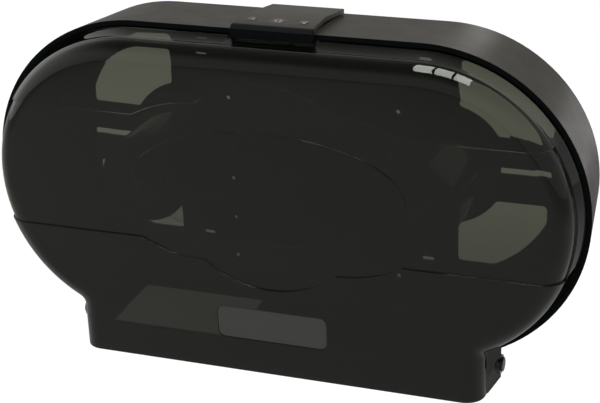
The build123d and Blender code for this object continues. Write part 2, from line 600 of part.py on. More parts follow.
def make_hinge_clips():
    with BuildPart() as clips:
        for side in (-1, 1):
            with BuildSketch(Plane.YZ.offset(side * (SKIRT_HALF_WIDTH - SKIRT_WALL))):
                with Locations((-HINGE_DEPTH, HINGE_HEIGHT)):
                    Circle(CLIP_RADIUS)
                    Circle(PIN_RADIUS, mode=Mode.SUBTRACT)
            extrude(amount=-side * CLIP_THICKNESS)
    return clips


# ---------------------------------------------------------------- lock bracket and its rivets
def make_lock_bracket():
    pad = casing_body(-PAD_HEIGHT, PAD_BACK, PAD_FRONT)
    foot = casing_top(PAD_BACK) - SPARE
    web_back = PAD_BACK + BRACKET_WEB_MARGIN
    web_front = PAD_FRONT - BRACKET_WEB_MARGIN
    with BuildPart() as plan:
        with BuildSketch(Plane.XY.offset(foot)):
            with BuildLine() as right:
                Polyline(
                    (0, -BRACKET_FRONT),
                    (BRACKET_HALF_FRONT, -BRACKET_FRONT),
                    (BRACKET_HALF_FRONT, -BRACKET_LIP_BACK),
                    (BRACKET_HALF_RIDGE, -BRACKET_RIDGE),
                    (BRACKET_HALF_BACK, -BRACKET_BACK),
                    (0, -BRACKET_BACK),
                )
                mirror(about=Plane.YZ)
            make_face()
        extrude(amount=2 * SPARE)
    with BuildPart() as legs:
        for side in (-1, 1):
            with BuildSketch(Plane.YZ.offset(side * BRACKET_WEB_X - BRACKET_WEB / 2)):
                with BuildLine():
                    Polyline(
                        (-web_back, foot),
                        (-web_back, casing_top(web_back) + BRACKET_BACK_RISE - BRACKET_PLATE / 2),
                        (-BRACKET_RIDGE, BRACKET_TOP_RIDGE - BRACKET_PLATE / 2),
                        (-web_front, BRACKET_TOP_CREST - BRACKET_PLATE / 2),
                        (-web_front, foot),
                        close=True,
                    )
                make_face()
            extrude(amount=BRACKET_WEB)
        with BuildSketch(Plane.XY.offset(foot)):
            with Locations((-RIVET_X, -LOCK_DEPTH), (RIVET_X, -LOCK_DEPTH)):
                Circle(RIVET_BOSS_RADIUS)
        extrude(amount=BRACKET_TOP_RIDGE - BRACKET_PLATE / 2 - foot)
        add(pad, mode=Mode.SUBTRACT)
    with BuildPart() as bracket:
        with BuildSketch(Plane.YZ):
            with BuildLine():
                Polyline(
                    (-BRACKET_FRONT, BRACKET_LIP_FOOT),
                    (-BRACKET_FRONT, BRACKET_TOP_LIP),
                    (-BRACKET_BEND, BRACKET_TOP_BEND),
                    (-BRACKET_CREST, BRACKET_TOP_CREST),
                    (-BRACKET_RIDGE, BRACKET_TOP_RIDGE),
                    (-BRACKET_BACK, BRACKET_TOP_BACK),
                    (-BRACKET_BACK, BRACKET_TOP_BACK - BRACKET_PLATE),
                    (-BRACKET_RIDGE, BRACKET_TOP_RIDGE - BRACKET_PLATE),
                    (-BRACKET_CREST, BRACKET_TOP_CREST - BRACKET_PLATE),
                    (-BRACKET_LIP_BACK, BRACKET_TOP_BEND - BRACKET_PLATE),
                    (-BRACKET_LIP_BACK, BRACKET_LIP_FOOT),
                    close=True,
                )
            make_face()
        extrude(amount=BRACKET_HALF_FRONT, both=True)
        add(plan.part, mode=Mode.INTERSECT)
        add(legs.part)
        with BuildSketch(Plane.XY.offset(SEAT_HEIGHT)):
            with Locations((0, -LOCK_DEPTH)):
                Circle(LOCK_FLANGE_RADIUS)
            with Locations((-RIVET_X, -LOCK_DEPTH), (RIVET_X, -LOCK_DEPTH)):
                Circle(RIVET_HEAD_RADIUS)
        extrude(amount=SPARE, mode=Mode.SUBTRACT)
        with BuildSketch(Plane.XY.offset(foot)):
            with Locations((0, -LOCK_DEPTH)):
                Circle(LOCK_BARREL_RADIUS)
            with Locations((-RIVET_X, -LOCK_DEPTH), (RIVET_X, -LOCK_DEPTH)):
                Circle(RIVET_RADIUS)
        extrude(amount=2 * SPARE, mode=Mode.SUBTRACT)
    return bracket


def make_bracket_rivets():
    tail_top = casing_top(LOCK_DEPTH - RIVET_TAIL_RADIUS) - CASING_WALL
    with BuildPart() as rivets:
        with BuildSketch(Plane.XY.offset(SEAT_HEIGHT)):
            with Locations((-RIVET_X, -LOCK_DEPTH), (RIVET_X, -LOCK_DEPTH)):
                Circle(RIVET_HEAD_RADIUS)
        extrude(amount=RIVET_HEAD)
        fillet(rivets.edges().group_by(Axis.Z)[-1], radius=RIVET_HEAD / 2)
        with BuildSketch(Plane.XY.offset(tail_top - RIVET_TAIL)):
            with Locations((-RIVET_X, -LOCK_DEPTH), (RIVET_X, -LOCK_DEPTH)):
                Circle(RIVET_TAIL_RADIUS)
        extrude(amount=RIVET_TAIL)
        with BuildSketch(Plane.XY.offset(tail_top)):
            with Locations((-RIVET_X, -LOCK_DEPTH), (RIVET_X, -LOCK_DEPTH)):
                Circle(RIVET_RADIUS)
        extrude(amount=SEAT_HEIGHT - tail_top)
    return rivets


# ---------------------------------------------------------------- lock
def make_lock_barrel():
    with BuildPart() as barrel:
        with BuildSketch(Plane.XY.offset(LOCK_BARREL_FOOT)):
            with Locations((0, -LOCK_DEPTH)):
                Circle(LOCK_BARREL_RADIUS)
        extrude(amount=SEAT_HEIGHT - LOCK_BARREL_FOOT)
        with BuildSketch(Plane.XY.offset(SEAT_HEIGHT)):
            with Locations((0, -LOCK_DEPTH)):
                Circle(LOCK_FLANGE_RADIUS)
        extrude(amount=LOCK_FLANGE)
        fillet(barrel.edges().group_by(Axis.Z)[-1], radius=LOCK_FLANGE / 2)
        with BuildSketch(Plane.XY.offset(LOCK_BARREL_FOOT)):
            with Locations((0, -LOCK_DEPTH)):
                Circle(LOCK_PLUG_RADIUS + LOCK_RUNNING_CLEARANCE)
        extrude(amount=SPARE, mode=Mode.SUBTRACT)
    return barrel


def make_lock_plug():
    top = SEAT_HEIGHT + LOCK_FLANGE
    with BuildPart() as plug:
        with BuildSketch(Plane.XY.offset(CAM_TOP)):
            with Locations((0, -LOCK_DEPTH)):
                Circle(LOCK_PLUG_RADIUS)
        extrude(amount=top - CAM_TOP)
        with BuildSketch(Plane.XY.offset(top)):
            with Locations((0, -LOCK_DEPTH)):
                Rectangle(KEY_SLOT_WIDTH, KEY_SLOT_LENGTH)
        extrude(amount=-KEY_SLOT_DEPTH, mode=Mode.SUBTRACT)
        with BuildSketch(Plane.XY.offset(CAM_TOP)):
            with Locations((0, -LOCK_DEPTH)):
                Circle(CAM_SCREW_RADIUS)
        extrude(amount=CAM_SCREW_LENGTH - CAM_THICKNESS, mode=Mode.SUBTRACT)
    return plug


def make_lock_nut():
    with BuildPart() as nut:
        with BuildSketch(Plane.XY.offset(LOCK_NUT_SEAT)):
            with Locations((0, -LOCK_DEPTH)):
                RegularPolygon(LOCK_NUT_ACROSS / 2, 6, major_radius=False)
                Circle(LOCK_BARREL_RADIUS, mode=Mode.SUBTRACT)
        extrude(amount=-LOCK_NUT_THICKNESS)
    return nut


def make_lock_cam():
    with BuildPart() as cam:
        with BuildSketch(Plane.XY.offset(CAM_TOP)):
            with Locations((0, -LOCK_DEPTH)):
                Circle(CAM_HUB_RADIUS)
            with Locations((0, -LOCK_DEPTH - CAM_REACH / 2)):
                Rectangle(2 * CAM_HALF_WIDTH, CAM_REACH)
            with Locations((0, -LOCK_DEPTH)):
                Circle(CAM_SCREW_RADIUS, mode=Mode.SUBTRACT)
        extrude(amount=-CAM_THICKNESS)
    return cam


def make_cam_screw():
    with BuildPart() as screw:
        with BuildSketch(Plane.XY.offset(CAM_TOP - CAM_THICKNESS)):
            with Locations((0, -LOCK_DEPTH)):
                Circle(CAM_SCREW_HEAD_RADIUS)
        extrude(amount=-CAM_SCREW_HEAD)
        fillet(screw.edges().group_by(Axis.Z)[0], radius=CAM_SCREW_HEAD / 3)
        with BuildSketch(Plane.XY.offset(CAM_TOP - CAM_THICKNESS)):
            with Locations((0, -LOCK_DEPTH)):
                Circle(CAM_SCREW_RADIUS)
        extrude(amount=CAM_SCREW_LENGTH)
    return screw


# ---------------------------------------------------------------- spindles and roll hubs
def make_spindle(side):
    with BuildPart() as spindle:
        with BuildSketch(WALL.offset(CASING_WALL)):
            with Locations((side * HUB_X, HUB_HEIGHT)):
                Circle(SPINDLE_FLANGE_RADIUS)
        extrude(amount=SPINDLE_FLANGE)
        with BuildSketch(WALL.offset(CASING_WALL)):
            with Locations((side * HUB_X, HUB_HEIGHT)):
                Circle(SPINDLE_RADIUS)
        extrude(amount=SPINDLE_FRONT - CASING_WALL)
        with BuildSketch(WALL.offset(CASING_WALL)):
            with Locations((side * HUB_X, HUB_HEIGHT)):
                Circle(SPINDLE_BORE)
        extrude(amount=SPINDLE_FRONT - SPINDLE_END_WALL - CASING_WALL, mode=Mode.SUBTRACT)
        with BuildSketch(WALL.offset(SPINDLE_FRONT)):
            with Locations((side * HUB_X, HUB_HEIGHT)):
                Circle(CAP_SCREW_RADIUS)
        extrude(amount=-SPINDLE_END_WALL, mode=Mode.SUBTRACT)
        with Locations(WALL.offset(CASING_WALL + SPINDLE_FLANGE)):
            with Locations((side * HUB_X, HUB_HEIGHT)):
                with PolarLocations(SPINDLE_SCREW_DISTANCE, SPINDLE_SCREWS, start_angle=90):
                    CounterSinkHole(SPINDLE_SCREW_RADIUS, SPINDLE_SCREW_HEAD_RADIUS, depth=SPINDLE_FLANGE)
    return spindle


def make_spindle_screws():
    top = CASING_WALL + SPINDLE_FLANGE
    with BuildPart() as screws:
        for side in (-1, 1):
            with BuildSketch(WALL):
                with Locations((side * HUB_X, HUB_HEIGHT)):
                    with PolarLocations(SPINDLE_SCREW_DISTANCE, SPINDLE_SCREWS, start_angle=90):
                        Circle(SPINDLE_SCREW_RADIUS)
            extrude(amount=top)
            with BuildSketch(WALL.offset(top)):
                with Locations((side * HUB_X, HUB_HEIGHT)):
                    with PolarLocations(SPINDLE_SCREW_DISTANCE, SPINDLE_SCREWS, start_angle=90):
                        Circle(SPINDLE_SCREW_HEAD_RADIUS)
            extrude(amount=-(SPINDLE_SCREW_HEAD_RADIUS - SPINDLE_SCREW_RADIUS), taper=45)
    return screws


def make_roll_hub(side):
    bore = SPINDLE_RADIUS + HUB_RUNNING_CLEARANCE
    with BuildPart() as hub:
        with BuildSketch(WALL.offset(HUB_BACK)):
            with Locations((side * HUB_X, HUB_HEIGHT)):
                Circle(HUB_DISC_RADIUS)
        extrude(amount=HUB_DISC)
        fillet(hub.edges().filter_by(GeomType.CIRCLE), radius=HUB_DISC / 3)
        with BuildSketch(WALL.offset(HUB_BACK)):
            with Locations((side * HUB_X, HUB_HEIGHT)):
                Circle(HUB_RADIUS)
        extrude(amount=HUB_FRONT - HUB_BACK)
        fillet(hub.edges().group_by(Axis.Y)[0], radius=HUB_EDGE_ROUND)
        with BuildSketch(WALL.offset(HUB_BACK)):
            with Locations((side * HUB_X, HUB_HEIGHT)):
                Circle(HUB_RADIUS - HUB_WALL)
                Circle(bore + HUB_WALL, mode=Mode.SUBTRACT)
        extrude(amount=HUB_FRONT - HUB_BACK - HUB_WALL, mode=Mode.SUBTRACT)
        with BuildSketch(WALL.offset(HUB_BACK)):
            with Locations((side * HUB_X, HUB_HEIGHT)):
                Circle(bore)
        extrude(amount=HUB_FRONT - HUB_BACK, mode=Mode.SUBTRACT)
    return hub


def make_spindle_cap(side):
    with BuildPart() as cap:
        with BuildSketch(WALL.offset(SPINDLE_FRONT)):
            with Locations((side * HUB_X, HUB_HEIGHT)):
                Circle(CAP_RADIUS)
        extrude(amount=CAP_THICKNESS)
        fillet(cap.edges().group_by(Axis.Y)[0], radius=CAP_EDGE_ROUND)
        with BuildSketch(WALL.offset(SPINDLE_FRONT)):
            with Locations((side * HUB_X, HUB_HEIGHT)):
                Circle(CAP_SCREW_RADIUS)
        extrude(amount=CAP_THICKNESS, mode=Mode.SUBTRACT)
    return cap


def make_cap_screws():
    with BuildPart() as screws:
        with BuildSketch(WALL.offset(CAP_FRONT)):
            with Locations((-HUB_X, HUB_HEIGHT), (HUB_X, HUB_HEIGHT)):
                Circle(CAP_SCREW_HEAD_RADIUS)
        extrude(amount=CAP_SCREW_HEAD)
        fillet(screws.edges().group_by(Axis.Y)[0], radius=CAP_SCREW_HEAD / 2)
        with BuildSketch(WALL.offset(CAP_FRONT)):
            with Locations((-HUB_X, HUB_HEIGHT), (HUB_X, HUB_HEIGHT)):
                Circle(CAP_SCREW_RADIUS)
        extrude(amount=-CAP_THICKNESS - SPINDLE_END_WALL)
    return screws


# ---------------------------------------------------------------- shutter and tear bars
def make_shutter():
    x0 = -SHUTTER_PAST_MIDDLE
    x1 = EXIT_HALF_WIDTH + SHUTTER_OVERLAP
    back = CASING_WALL + SHUTTER_CLEARANCE
    front = CASING_DEPTH - SHUTTER_CLEARANCE
    pull_x = x0 + PULL_INSET
    with BuildPart() as shutter:
        with BuildSketch(Plane.XY.offset(SHUTTER_BOTTOM)):
            with Locations(((x0 + x1) / 2, -(front + back) / 2)):
                Rectangle(x1 - x0, front - back)
        extrude(amount=SHUTTER_THICKNESS)
        with BuildSketch(Plane.YZ.offset(pull_x)) as pull:
            with Locations((-(EXIT_BACK + EXIT_FRONT) / 2, SHUTTER_BOTTOM - PULL_DROP / 2)):
                Rectangle(PULL_WIDTH, PULL_DROP)
            fillet(pull.vertices().group_by(Axis.Y)[0], radius=PULL_CORNER)
        extrude(amount=PULL_THICKNESS)
    return shutter


def make_tear_bar(side):
    length = TEAR_BAR_END - TEAR_BAR_START
    middle = (TEAR_BAR_START + TEAR_BAR_END) / 2
    teeth = int(length / TOOTH_PITCH)
    foot = APRON_FOOT
    with BuildPart() as bar:
        with BuildSketch(WALL.offset(APRON_FRONT)):
            with Locations((side * middle, foot + TEAR_BAR_HEIGHT / 2)):
                Rectangle(length, TEAR_BAR_HEIGHT)
            for tooth in range(teeth):
                tooth_x = middle + (tooth - (teeth - 1) / 2) * TOOTH_PITCH
                with BuildLine():
                    Polyline(
                        (side * tooth_x - TOOTH_PITCH / 2, foot),
                        (side * tooth_x, foot - TOOTH_HEIGHT),
                        (side * tooth_x + TOOTH_PITCH / 2, foot),
                        close=True,
                    )
                make_face()
            for x in (TEAR_BAR_START + TEAR_SCREW_INSET, TEAR_BAR_END - TEAR_SCREW_INSET):
                with Locations((side * x, TEAR_SCREW_HEIGHT)):
                    Circle(TEAR_SCREW_RADIUS, mode=Mode.SUBTRACT)
        extrude(amount=TEAR_BAR_THICKNESS)
    return bar


def make_tear_bar_screws():
    near = TEAR_BAR_START + TEAR_SCREW_INSET
    far = TEAR_BAR_END - TEAR_SCREW_INSET
    with BuildPart() as screws:
        for x in (-far, -near, near, far):
            with BuildSketch(WALL.offset(APRON_FRONT + TEAR_BAR_THICKNESS)):
                with Locations((x, TEAR_SCREW_HEIGHT)):
                    Circle(TEAR_SCREW_HEAD_RADIUS)
            extrude(amount=TEAR_SCREW_HEAD)
        fillet(screws.edges().group_by(Axis.Y)[0], radius=TEAR_SCREW_HEAD / 2)
        for x in (-far, -near, near, far):
            with BuildSketch(WALL.offset(APRON_FRONT)):
                with Locations((x, TEAR_SCREW_HEIGHT)):
                    Circle(TEAR_SCREW_RADIUS)
            extrude(amount=TEAR_BAR_THICKNESS)
    return screws


# ---------------------------------------------------------------- write every piece
pieces = {
    "rear_casing": make_rear_casing(),
    "front_cover": make_front_cover(),
    "blank_label": make_blank_label(),
    "hinge_pin_left": make_hinge_pin(-1),
    "hinge_pin_right": make_hinge_pin(1),
    "hinge_clips": make_hinge_clips(),
    "lock_bracket": make_lock_bracket(),
    "bracket_rivets": make_bracket_rivets(),
    "lock_barrel": make_lock_barrel(),
    "lock_plug": make_lock_plug(),
    "lock_nut": make_lock_nut(),
    "lock_cam": make_lock_cam(),
    "cam_screw": make_cam_screw(),
    "spindle_left": make_spindle(-1),
    "spindle_right": make_spindle(1),
    "spindle_screws": make_spindle_screws(),
    "roll_hub_left": make_roll_hub(-1),
    "roll_hub_right": make_roll_hub(1),
    "spindle_cap_left": make_spindle_cap(-1),
    "spindle_cap_right": make_spindle_cap(1),
    "cap_screws": make_cap_screws(),
    "shutter": make_shutter(),
    "tear_bar_left": make_tear_bar(-1),
    "tear_bar_right": make_tear_bar(1),
    "tear_bar_screws": make_tear_bar_screws(),
}
os.makedirs("parts", exist_ok=True)
for label, piece in pieces.items():
    piece.part.label = label
    export_step(piece.part, f"parts/{label}.step")
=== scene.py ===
import json
from math import cos, radians, sin

import bpy
from mathutils import Matrix, Vector


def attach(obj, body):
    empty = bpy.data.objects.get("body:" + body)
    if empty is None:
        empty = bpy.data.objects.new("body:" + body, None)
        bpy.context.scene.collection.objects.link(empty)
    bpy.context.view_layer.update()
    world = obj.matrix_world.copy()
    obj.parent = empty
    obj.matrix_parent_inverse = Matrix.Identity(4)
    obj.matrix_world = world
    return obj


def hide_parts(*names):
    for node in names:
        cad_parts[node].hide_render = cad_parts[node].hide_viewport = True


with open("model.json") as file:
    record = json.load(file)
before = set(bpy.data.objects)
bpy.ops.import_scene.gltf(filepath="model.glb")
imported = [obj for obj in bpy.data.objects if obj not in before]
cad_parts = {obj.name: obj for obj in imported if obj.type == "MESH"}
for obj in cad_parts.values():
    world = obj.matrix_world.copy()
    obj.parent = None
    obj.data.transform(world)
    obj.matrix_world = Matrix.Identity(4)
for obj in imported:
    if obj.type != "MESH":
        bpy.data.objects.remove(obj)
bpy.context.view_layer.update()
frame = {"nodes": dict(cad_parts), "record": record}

nodes = frame["nodes"]

# ---------------------------------------------------------------- small helpers for node trees


def put(tree, kind, sockets=None, **settings):
    """Adds a node. Each socket is given a value, or another node's output to take it from."""
    node = tree.nodes.new(kind)
    for name, value in settings.items():
        setattr(node, name, value)
    for key, value in (sockets or {}).items():
        socket = node.inputs[key]
        if isinstance(value, bpy.types.NodeSocket):
            tree.links.new(value, socket)
        else:
            socket.default_value = value
    return node


def grey(value):
    return (value, value, value, 1.0)


def new_finish(name):
    """An empty material with a principled shader joined to its output."""
    material = bpy.data.materials.new(name)
    material.use_nodes = True
    tree = material.node_tree
    tree.nodes.clear()
    shader = put(tree, "ShaderNodeBsdfPrincipled")
    put(tree, "ShaderNodeOutputMaterial", {"Surface": shader.outputs["BSDF"]})
    return material, tree, shader


def place(tree):
    """Object coordinates, in metres."""
    return put(tree, "ShaderNodeTexCoord").outputs["Object"]


def noise(tree, where, scale, detail=3.0, roughness=0.5):
    sockets = {"Vector": where, "Scale": scale, "Detail": detail, "Roughness": roughness}
    return put(tree, "ShaderNodeTexNoise", sockets).outputs["Fac"]


def spread(tree, value, low, high, to_low, to_high):
    """Maps low..high to to_low..to_high, and stops there."""
    sockets = {"Value": value, "From Min": low, "From Max": high, "To Min": to_low, "To Max": to_high}
    return put(tree, "ShaderNodeMapRange", sockets).outputs["Result"]


def blend_colours(tree, amount, first, second, how="MIX"):
    node = put(tree, "ShaderNodeMix", data_type="RGBA", blend_type=how)
    for index, value in ((0, amount), (6, first), (7, second)):
        if isinstance(value, bpy.types.NodeSocket):
            tree.links.new(value, node.inputs[index])
        else:
            node.inputs[index].default_value = value
    return node.outputs[2]


def stretched(tree, where, scale):
    return put(tree, "ShaderNodeMapping", {"Vector": where, "Scale": scale}).outputs["Vector"]


def rounded(tree, radius, samples=4):
    """A normal that turns smoothly over each edge, as on a moulded or tumbled piece."""
    return put(tree, "ShaderNodeBevel", {"Radius": radius}, samples=samples).outputs["Normal"]


def edge_mask(tree, radius):
    """1 on sharp edges and 0 elsewhere, for wear."""
    flat = put(tree, "ShaderNodeNewGeometry").outputs["True Normal"]
    turn = put(tree, "ShaderNodeVectorMath", {0: rounded(tree, radius), 1: flat}, operation="DOT_PRODUCT")
    return spread(tree, turn.outputs["Value"], 0.98, 0.75, 0.0, 1.0)


def bump(tree, height, distance, normal=None, strength=1.0):
    sockets = {"Height": height, "Distance": distance, "Strength": strength}
    if normal is not None:
        sockets["Normal"] = normal
    return put(tree, "ShaderNodeBump", sockets).outputs["Normal"]


# ---------------------------------------------------------------- finishes


def satin_plastic(name, colour, roughness, grain_size=0.0005, grain_depth=0.00002, worn=1.4, edge=0.0004,
                  shine=0.5, painted_seam_shade_y=None):
    """Moulded plastic with a fine spark grain, faint flow mottling, handled patches and paler edges.

    Where a seam depth is given, the piece is painted near black and matt in front of that place on the Y axis: painted
    shade of the dark seam.
    """
    material, tree, shader = new_finish(name)
    where = place(tree)
    mottle = noise(tree, where, 14.0, 4.0)
    handled = noise(tree, where, 45.0, 5.0, 0.6)
    dark = tuple(c * 0.95 for c in colour) + (1.0,)
    light = tuple(min(c * 1.05, 1.0) for c in colour) + (1.0,)
    body = blend_colours(tree, spread(tree, mottle, 0.35, 0.65, 0.0, 1.0), dark, light)
    paler = tuple(min(c * worn + 0.004, 1.0) for c in colour) + (1.0,)
    worn_edges = put(tree, "ShaderNodeMath", {0: edge_mask(tree, edge), 1: 0.55}, operation="MULTIPLY").outputs[0]
    body = blend_colours(tree, worn_edges, body, paler)
    grain = noise(tree, where, 1.0 / grain_size, 2.0, 0.6)
    ripple = noise(tree, where, 60.0, 2.0)
    normal = bump(tree, ripple, 0.00006, rounded(tree, edge), 0.5)
    normal = bump(tree, grain, grain_depth, normal)
    polish = spread(tree, handled, 0.3, 0.7, roughness - 0.03, roughness + 0.04)
    if painted_seam_shade_y is not None:
        # painted shade: in front of the seam depth the colour goes near black and matt, standing in for the shadow in
        # the seam
        depth = put(tree, "ShaderNodeSeparateXYZ", {"Vector": where}).outputs["Y"]
        front = spread(tree, depth, painted_seam_shade_y - 0.0004, painted_seam_shade_y + 0.0004, 1.0, 0.0)
        body = blend_colours(tree, front, body, (0.003, 0.0045, 0.005, 1.0))
        polish = put(tree, "ShaderNodeMix", {0: front, 2: polish, 3: 0.85}).outputs[0]
    tree.links.new(body, shader.inputs["Base Color"])
    tree.links.new(polish, shader.inputs["Roughness"])
    tree.links.new(normal, shader.inputs["Normal"])
    shader.inputs["IOR"].default_value = 1.5
    shader.inputs["Specular IOR Level"].default_value = shine
    return material


def gloss_plastic(name, colour, roughness):
    """Polished black plastic with fine rub marks and softened edges."""
    material, tree, shader = new_finish(name)
    where = place(tree)
    rub = noise(tree, stretched(tree, where, (1.0, 6.0, 1.0)), 300.0, 4.0, 0.7)
    cloud = noise(tree, where, 30.0, 3.0)
    tint = blend_colours(
        tree, cloud, tuple(c * 0.8 for c in colour) + (1.0,), tuple(c * 1.25 for c in colour) + (1.0,)
    )
    tree.links.new(tint, shader.inputs["Base Color"])
    tree.links.new(spread(tree, rub, 0.3, 0.75, roughness * 0.7, roughness * 1.6), shader.inputs["Roughness"])
    tree.links.new(bump(tree, rub, 0.000006, rounded(tree, 0.0004)), shader.inputs["Normal"])
    return material


def smoke_plastic(name):
    """Clear glossy plastic, tinted smoke, with faint waviness and hair scratches.

    The tint is darkened towards the right, lower down and most in the skirt, as painted shade. The body of the
    plastic takes up more light along its edges, where the way through it is long.
    """
    material, tree, shader = new_finish(name)
    where = place(tree)
    wave = noise(tree, where, 9.0, 1.0)
    scratch = noise(tree, stretched(tree, where, (90.0, 9.0, 260.0)), 9.0, 5.0, 0.75)
    cloud = noise(tree, where, 6.0, 2.0)
    parts = put(tree, "ShaderNodeSeparateXYZ", {"Vector": where}).outputs
    # painted shade: the tint is scaled darker towards the right, lower down and most in the skirt
    shade_to_right = spread(tree, parts["X"], -0.2, 0.2, 1.10, 0.90)
    high = spread(tree, parts["Z"], -0.02, 0.07, 0.66, 1.06)
    low = spread(tree, parts["Z"], -0.085, -0.05, 0.36, 1.0)
    painted_shade = put(tree, "ShaderNodeMath", {0: shade_to_right, 1: high}, operation="MULTIPLY").outputs[0]
    painted_shade = put(tree, "ShaderNodeMath", {0: painted_shade, 1: low}, operation="MULTIPLY").outputs[0]
    tint = blend_colours(tree, cloud, (0.079, 0.080, 0.058, 1.0), (0.091, 0.093, 0.067, 1.0))
    tint = put(tree, "ShaderNodeVectorMath", {0: tint, "Scale": painted_shade}, operation="SCALE").outputs[0]
    tree.links.new(tint, shader.inputs["Base Color"])
    tree.links.new(spread(tree, scratch, 0.5, 0.8, 0.012, 0.045), shader.inputs["Roughness"])
    tree.links.new(bump(tree, wave, 0.00025, rounded(tree, 0.0008, 16), 0.6), shader.inputs["Normal"])
    shader.inputs["Transmission Weight"].default_value = 1.0
    shader.inputs["IOR"].default_value = 1.46
    shader.inputs["Specular Tint"].default_value = (0.95, 1.0, 0.92, 1.0)
    inside = put(tree, "ShaderNodeVolumeAbsorption", {"Color": (0.02, 0.03, 0.02, 1.0), "Density": 90.0})
    ends = [node for node in tree.nodes if node.bl_idname == "ShaderNodeOutputMaterial"]
    tree.links.new(inside.outputs[0], ends[0].inputs["Volume"])
    return material


def worked_metal(name, colour, roughness, along=(1.0, 1.0, 12.0), depth=0.000012, dirt=0.5):
    """Metal with fine draw lines, a little dulling in patches and brighter edges."""
    material, tree, shader = new_finish(name)
    where = place(tree)
    lines = noise(tree, stretched(tree, where, along), 420.0, 6.0, 0.7)
    patches = noise(tree, where, 120.0, 4.0, 0.6)
    dull = tuple(c * dirt for c in colour) + (1.0,)
    body = blend_colours(tree, spread(tree, patches, 0.3, 0.7, 0.35, 0.0), colour + (1.0,), dull)
    bright = tuple(min(c * 1.35, 1.0) for c in colour) + (1.0,)
    body = blend_colours(tree, edge_mask(tree, 0.0002), body, bright)
    tree.links.new(body, shader.inputs["Base Color"])
    tree.links.new(spread(tree, lines, 0.3, 0.7, roughness * 0.75, roughness * 1.35), shader.inputs["Roughness"])
    tree.links.new(bump(tree, lines, depth, rounded(tree, 0.0002)), shader.inputs["Normal"])
    shader.inputs["Metallic"].default_value = 1.0
    return material


def label_card(name):
    """Blank satin label with a fine upright brushing."""
    material, tree, shader = new_finish(name)
    where = place(tree)
    brushing = noise(tree, stretched(tree, where, (26.0, 1.0, 1.0)), 90.0, 4.0, 0.7)
    cloud = noise(tree, where, 40.0, 3.0)
    body = blend_colours(tree, brushing, (0.056, 0.055, 0.050, 1.0), (0.068, 0.067, 0.061, 1.0))
    body = blend_colours(tree, spread(tree, cloud, 0.4, 0.7, 0.0, 0.2), body, (0.078, 0.076, 0.071, 1.0))
    tree.links.new(body, shader.inputs["Base Color"])
    tree.links.new(spread(tree, brushing, 0.3, 0.7, 0.42, 0.55), shader.inputs["Roughness"])
    tree.links.new(bump(tree, brushing, 0.00001, rounded(tree, 0.0003)), shader.inputs["Normal"])
    return material


finishes = {
    # the casing and the bracket get painted seam shade, near black, on their front faces
    "casing_satin": satin_plastic("casing_satin", (0.046, 0.0405, 0.030), 0.42, shine=0.12, painted_seam_shade_y=-0.0858),
    "cover_smoke": smoke_plastic("cover_smoke"),
    "label_plate": label_card("label_plate"),
    "hinge_black": gloss_plastic("hinge_black", (0.012, 0.012, 0.013), 0.25),
    "clip_steel": worked_metal("clip_steel", (0.42, 0.42, 0.43), 0.30),
    "bracket_satin": satin_plastic("bracket_satin", (0.058, 0.0525, 0.040), 0.42, shine=0.15, painted_seam_shade_y=-0.0852),
    "rivet_aluminium": worked_metal("rivet_aluminium", (0.20, 0.19, 0.17), 0.42, (1.0, 1.0, 1.0)),
    "lock_chrome": worked_metal("lock_chrome", (0.10, 0.095, 0.085), 0.34, (1.0, 1.0, 1.0), 0.000004),
    "plug_brass": worked_metal("plug_brass", (0.46, 0.42, 0.36), 0.28, (1.0, 1.0, 1.0), 0.000006),
    "nut_steel": worked_metal("nut_steel", (0.48, 0.48, 0.47), 0.30),
    "cam_steel": worked_metal("cam_steel", (0.44, 0.44, 0.45), 0.32, (12.0, 1.0, 1.0)),
    "screw_steel": worked_metal("screw_steel", (0.50, 0.50, 0.50), 0.28),
    "spindle_plastic": satin_plastic("spindle_plastic", (0.020, 0.020, 0.020), 0.42),
    "hub_plastic": satin_plastic("hub_plastic", (0.016, 0.016, 0.016), 0.10, 0.0009, 0.000002, shine=1.0),
    "cap_plastic": gloss_plastic("cap_plastic", (0.020, 0.020, 0.020), 0.30),
    "shutter_plastic": satin_plastic("shutter_plastic", (0.030, 0.030, 0.029), 0.40),
    "tear_steel": worked_metal("tear_steel", (0.55, 0.55, 0.56), 0.22, (1.0, 1.0, 30.0)),
}
for part in frame["record"]["subparts"]:
    mesh = nodes[part["node"]].data
    mesh.materials.clear()
    mesh.materials.append(finishes[part["material_slot"]])


# ---------------------------------------------------------------- smooth shading on the moulded shapes


def smoothing_tree():
    """Joins the loose triangles of a piece and shades it smooth, apart from edges sharper than an angle."""
    tree = bpy.data.node_groups.new("join_and_smooth", "GeometryNodeTree")
    tree.interface.new_socket("Piece", in_out="INPUT", socket_type="NodeSocketGeometry")
    tree.interface.new_socket("Join_distance", in_out="INPUT", socket_type="NodeSocketFloat")
    tree.interface.new_socket("Sharp_angle", in_out="INPUT", socket_type="NodeSocketFloat")
    tree.interface.new_socket("Piece", in_out="OUTPUT", socket_type="NodeSocketGeometry")
    given = put(tree, "NodeGroupInput").outputs
    joined = put(tree, "GeometryNodeMergeByDistance", {"Geometry": given["Piece"], "Distance": given["Join_distance"]})
    smooth = put(
        tree, "GeometryNodeSetShadeSmooth", {0: joined.outputs["Geometry"], "Shade Smooth": True}, domain="FACE"
    )
    angle = put(tree, "GeometryNodeInputMeshEdgeAngle").outputs["Unsigned Angle"]
    sharp = put(tree, "FunctionNodeCompare", {0: angle, 1: given["Sharp_angle"]}, operation="GREATER_THAN")
    creased = put(
        tree,
        "GeometryNodeSetShadeSmooth",
        {0: smooth.outputs[0], "Selection": sharp.outputs[0], "Shade Smooth": False},
        domain="EDGE",
    )
    put(tree, "NodeGroupOutput", {0: creased.outputs[0]})
    return tree


